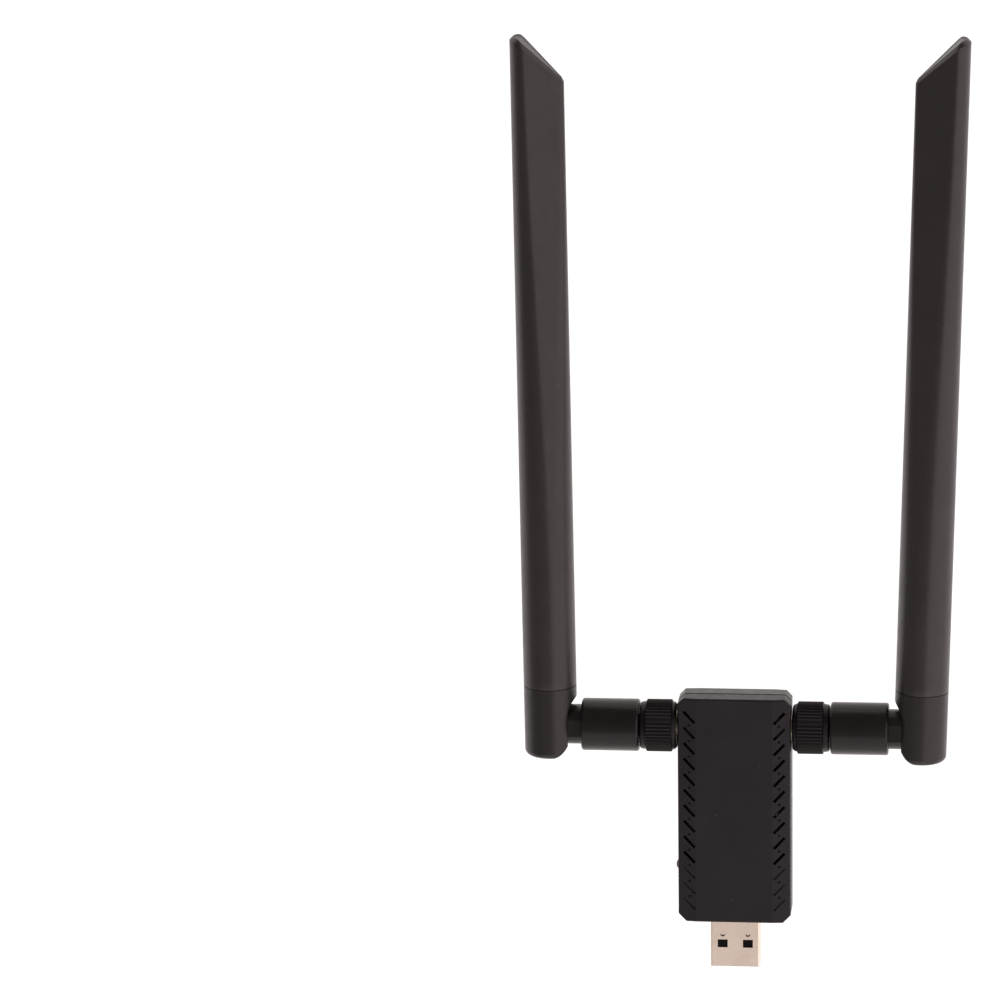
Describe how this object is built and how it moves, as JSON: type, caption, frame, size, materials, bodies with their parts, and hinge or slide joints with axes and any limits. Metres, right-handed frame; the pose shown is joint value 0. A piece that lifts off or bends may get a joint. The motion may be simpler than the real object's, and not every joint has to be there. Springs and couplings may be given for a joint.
{
  "type": "usb wifi adapter",
  "caption": "USB wireless network adapter: slim vented stick with a type A plug, a side button, and blade antennas on screw-on swivel arms that fold.",
  "frame": {"origin": "centre of the USB plug in the plane of the casing end it leaves", "axes": "+Y from the plug towards the antenna tips, +Z out of the front cover, +X to the right seen from the front"},
  "size_m": [0.1077, 0.2273, 0.0126],
  "materials": {
    "case_plastic": "fine moulded texture",
    "button_plastic": "satin",
    "board_mask": "solder mask",
    "chip_epoxy": "epoxy",
    "tinplate": "tinned",
    "ceramic_parts": "fired",
    "led_lens": "clear",
    "switch_plastic": "satin",
    "nickel_shell": "nickel plated, warm",
    "insulator_black": "satin",
    "contact_gold": "gold plated",
    "jack_metal": "nickel-gold plated",
    "ptfe": "waxy",
    "nut_plastic": "satin, knurled",
    "brass_insert": "turned",
    "sleeve_plastic": "satin gloss",
    "cable_jacket": "extruded",
    "blade_plastic": "fine matt texture",
    "steel_pin": "ground",
    "copper": "etched foil"
  },
  "bodies": {
    "casing": {"front_cover": "case_plastic", "back_cover": "case_plastic", "circuit_board": "board_mask", "wifi_chip": "chip_epoxy", "rf_shield": "tinplate", "crystal": "tinplate", "board_components": "ceramic_parts", "status_led": "led_lens", "wps_switch": "switch_plastic", "usb_shell": "nickel_shell", "usb_insulator": "insulator_black", "usb_contacts": "contact_gold", "left_jack_body": "jack_metal", "left_jack_insulator": "ptfe", "left_jack_pin": "contact_gold", "right_jack_body": "jack_metal", "right_jack_insulator": "ptfe", "right_jack_pin": "contact_gold"},
    "left_nut": {"left_nut_grip": "nut_plastic", "left_nut_insert": "brass_insert"},
    "left_arm": {"left_swivel_sleeve": "sleeve_plastic", "left_plug_barrel": "brass_insert", "left_retaining_ring": "brass_insert", "left_plug_insulator": "ptfe", "left_plug_contact": "contact_gold", "left_sleeve_coax": "cable_jacket"},
    "left_blade": {"left_knuckle": "blade_plastic", "left_hinge_pins": "steel_pin", "left_blade_cover": "blade_plastic", "left_antenna_board": "board_mask", "left_antenna_elements": "copper", "left_blade_coax": "cable_jacket"},
    "right_nut": {"right_nut_grip": "nut_plastic", "right_nut_insert": "brass_insert"},
    "right_arm": {"right_swivel_sleeve": "sleeve_plastic", "right_plug_barrel": "brass_insert", "right_retaining_ring": "brass_insert", "right_plug_insulator": "ptfe", "right_plug_contact": "contact_gold", "right_sleeve_coax": "cable_jacket"},
    "right_blade": {"right_knuckle": "blade_plastic", "right_hinge_pins": "steel_pin", "right_blade_cover": "blade_plastic", "right_antenna_board": "board_mask", "right_antenna_elements": "copper", "right_blade_coax": "cable_jacket"},
    "side_button": {"wps_button": "button_plastic"}
  },
  "joints": [
    {"name": "left_nut_turn", "type": "hinge", "parent": "casing", "child": "left_nut", "pos_m": [-0.018, 0.0479, 0], "axis": [1, 0, 0], "continuous": true},
    {"name": "left_arm_swivel", "type": "hinge", "parent": "casing", "child": "left_arm", "pos_m": [-0.026, 0.0479, 0], "axis": [1, 0, 0], "range_deg": [-180, 180]},
    {"name": "left_blade_fold", "type": "hinge", "parent": "left_arm", "child": "left_blade", "pos_m": [-0.0444, 0.0479, 0], "axis": [0, 0, 1], "range_deg": [-0.55, 89.45]},
    {"name": "right_nut_turn", "type": "hinge", "parent": "casing", "child": "right_nut", "pos_m": [0.018, 0.0479, 0], "axis": [1, 0, 0], "continuous": true},
    {"name": "right_arm_swivel", "type": "hinge", "parent": "casing", "child": "right_arm", "pos_m": [0.026, 0.0479, 0], "axis": [1, 0, 0], "range_deg": [-180, 180]},
    {"name": "right_blade_fold", "type": "hinge", "parent": "right_arm", "child": "right_blade", "pos_m": [0.0444, 0.0479, 0], "axis": [0, 0, -1], "range_deg": [-1.6, 88.4]},
    {"name": "side_button_press", "type": "slide", "parent": "casing", "child": "side_button", "axis": [1, 0, 0], "range_m": [0, 0.00035], "stiffness_N_per_m": 600, "springref_m": -0.0005}
  ]
}
